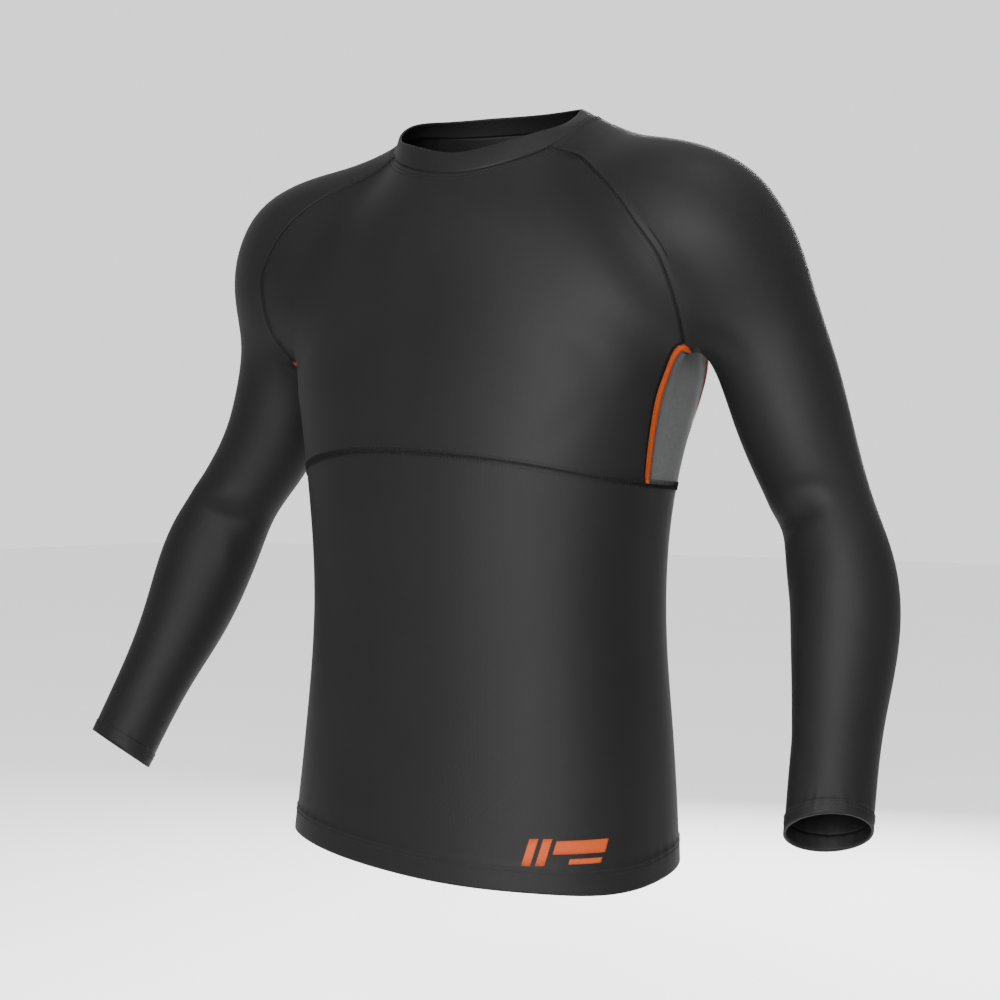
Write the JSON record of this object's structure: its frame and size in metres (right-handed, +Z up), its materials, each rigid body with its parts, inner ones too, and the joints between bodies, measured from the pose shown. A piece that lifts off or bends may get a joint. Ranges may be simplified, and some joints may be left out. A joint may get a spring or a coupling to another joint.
{
  "type": "compression shirt",
  "caption": "Close-fitting long-sleeved sports shirt in its worn shape, with raglan sleeves, a round neck band and arched grey underarm panels edged in orange.",
  "frame": {"origin": "middle of the neck opening, where the wearer's neck and shoulders hold the shirt up", "axes": "+Z up, -Y the way the wearer faces, +X the wearer's left"},
  "size_m": [0.7724, 0.2712, 0.6445],
  "materials": {
    "black_knit": "smooth stretch knit with a soft sheen",
    "grey_knit": "matt heather mesh knit",
    "orange_tape": "flat knitted tape"
  },
  "bodies": {
    "root": {"neckband": "black_knit", "chest_front": "black_knit", "upper_back": "black_knit", "lower_body": "black_knit", "sleeve_left": "black_knit", "sleeve_right": "black_knit", "side_panel_left": "grey_knit", "side_panel_right": "grey_knit", "side_piping_left": "orange_tape", "side_piping_right": "orange_tape"}
  },
  "joints": []
}
